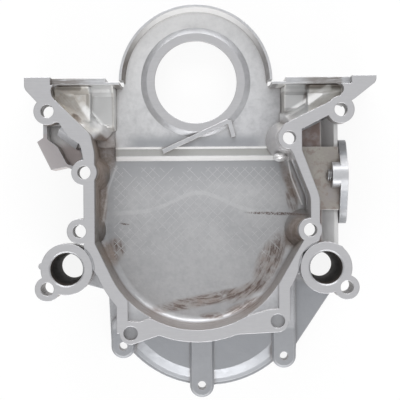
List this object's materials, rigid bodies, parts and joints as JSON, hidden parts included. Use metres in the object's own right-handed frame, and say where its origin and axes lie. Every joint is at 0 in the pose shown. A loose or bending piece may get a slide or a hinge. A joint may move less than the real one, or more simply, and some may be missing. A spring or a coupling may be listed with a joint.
{
  "type": "timing cover",
  "caption": "Cast aluminium timing cover for a small V8: crank seal bore, half-round oil pan arc, gasket rail, water ports and a fuel pump pad.",
  "frame": {"origin": "crankshaft axis in the front plane, at the mouth of the seal bore", "axes": "+Z along the crankshaft towards the engine block, +Y towards the oil pan, +X towards the fuel pump"},
  "size_m": [0.2664, 0.3108, 0.06],
  "materials": {
    "casting": "cast"
  },
  "bodies": {
    "root": {"timing_cover": "casting"}
  },
  "joints": []
}
